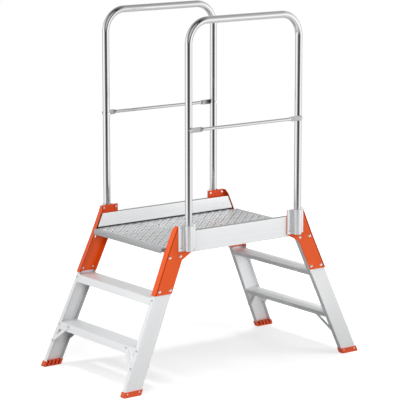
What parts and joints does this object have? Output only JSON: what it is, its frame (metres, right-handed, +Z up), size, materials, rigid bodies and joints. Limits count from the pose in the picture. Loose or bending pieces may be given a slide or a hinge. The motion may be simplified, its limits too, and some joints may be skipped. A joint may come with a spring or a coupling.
{
  "type": "double-sided step platform",
  "caption": "Double-sided step platform: a perforated deck between toe boards, a splayed ladder at each end, and a lift-out hoop guardrail along each long side.",
  "frame": {"origin": "on the ground, under the middle of the deck", "axes": "+X along the platform towards the right ladder, +Y across it towards the far guardrail, +Z up"},
  "size_m": [1.4764, 0.751, 1.7915],
  "materials": {
    "aluminium_tube": "bright drawn tube",
    "aluminium_extrusion": "satin mill finish",
    "aluminium_sheet": "satin perforated sheet",
    "aluminium_rivet": "bright",
    "orange_powder_coat": "smooth satin powder coat",
    "orange_plastic": "moulded satin",
    "plug_plastic": "moulded matte",
    "zinc_steel": "zinc plated"
  },
  "bodies": {
    "frame": {"brace_rivets": "aluminium_rivet", "bracket_bolts": "zinc_steel", "deck_rivets": "aluminium_rivet", "far_left_back_brace": "aluminium_extrusion", "far_left_bracket": "orange_powder_coat", "far_left_foot": "orange_plastic", "far_left_front_brace": "aluminium_extrusion", "far_left_liner": "orange_powder_coat", "far_left_socket": "aluminium_extrusion", "far_left_stile": "aluminium_extrusion", "far_right_back_brace": "aluminium_extrusion", "far_right_bracket": "orange_powder_coat", "far_right_foot": "orange_plastic", "far_right_front_brace": "aluminium_extrusion", "far_right_liner": "orange_powder_coat", "far_right_socket": "aluminium_extrusion", "far_right_stile": "aluminium_extrusion", "far_side_rail": "aluminium_extrusion", "foot_screws": "zinc_steel", "left_end_joist": "aluminium_extrusion", "left_joist": "aluminium_extrusion", "left_lower_step": "aluminium_extrusion", "left_nosing": "aluminium_extrusion", "left_plank": "aluminium_sheet", "left_upper_step": "aluminium_extrusion", "middle_plank": "aluminium_sheet", "near_left_back_brace": "aluminium_extrusion", "near_left_bracket": "orange_powder_coat", "near_left_foot": "orange_plastic", "near_left_front_brace": "aluminium_extrusion", "near_left_liner": "orange_powder_coat", "near_left_socket": "aluminium_extrusion", "near_left_stile": "aluminium_extrusion", "near_right_back_brace": "aluminium_extrusion", "near_right_bracket": "orange_powder_coat", "near_right_foot": "orange_plastic", "near_right_front_brace": "aluminium_extrusion", "near_right_liner": "orange_powder_coat", "near_right_socket": "aluminium_extrusion", "near_right_stile": "aluminium_extrusion", "near_side_rail": "aluminium_extrusion", "right_end_joist": "aluminium_extrusion", "right_joist": "aluminium_extrusion", "right_lower_step": "aluminium_extrusion", "right_nosing": "aluminium_extrusion", "right_plank": "aluminium_sheet", "right_upper_step": "aluminium_extrusion", "socket_bolts": "zinc_steel", "step_rivets": "aluminium_rivet"},
    "near_guardrail": {"near_guardrail_hoop": "aluminium_tube", "near_knee_rail": "aluminium_tube", "near_post_plugs": "plug_plastic", "near_knee_rail_bolts": "zinc_steel"},
    "far_guardrail": {"far_guardrail_hoop": "aluminium_tube", "far_knee_rail": "aluminium_tube", "far_post_plugs": "plug_plastic", "far_knee_rail_bolts": "zinc_steel"}
  },
  "joints": [
    {"name": "near_guardrail_lift", "type": "slide", "parent": "frame", "child": "near_guardrail", "axis": [0, 0, 1], "range_m": [0, 0.13]},
    {"name": "far_guardrail_lift", "type": "slide", "parent": "frame", "child": "far_guardrail", "axis": [0, 0, 1], "range_m": [0, 0.13]}
  ]
}
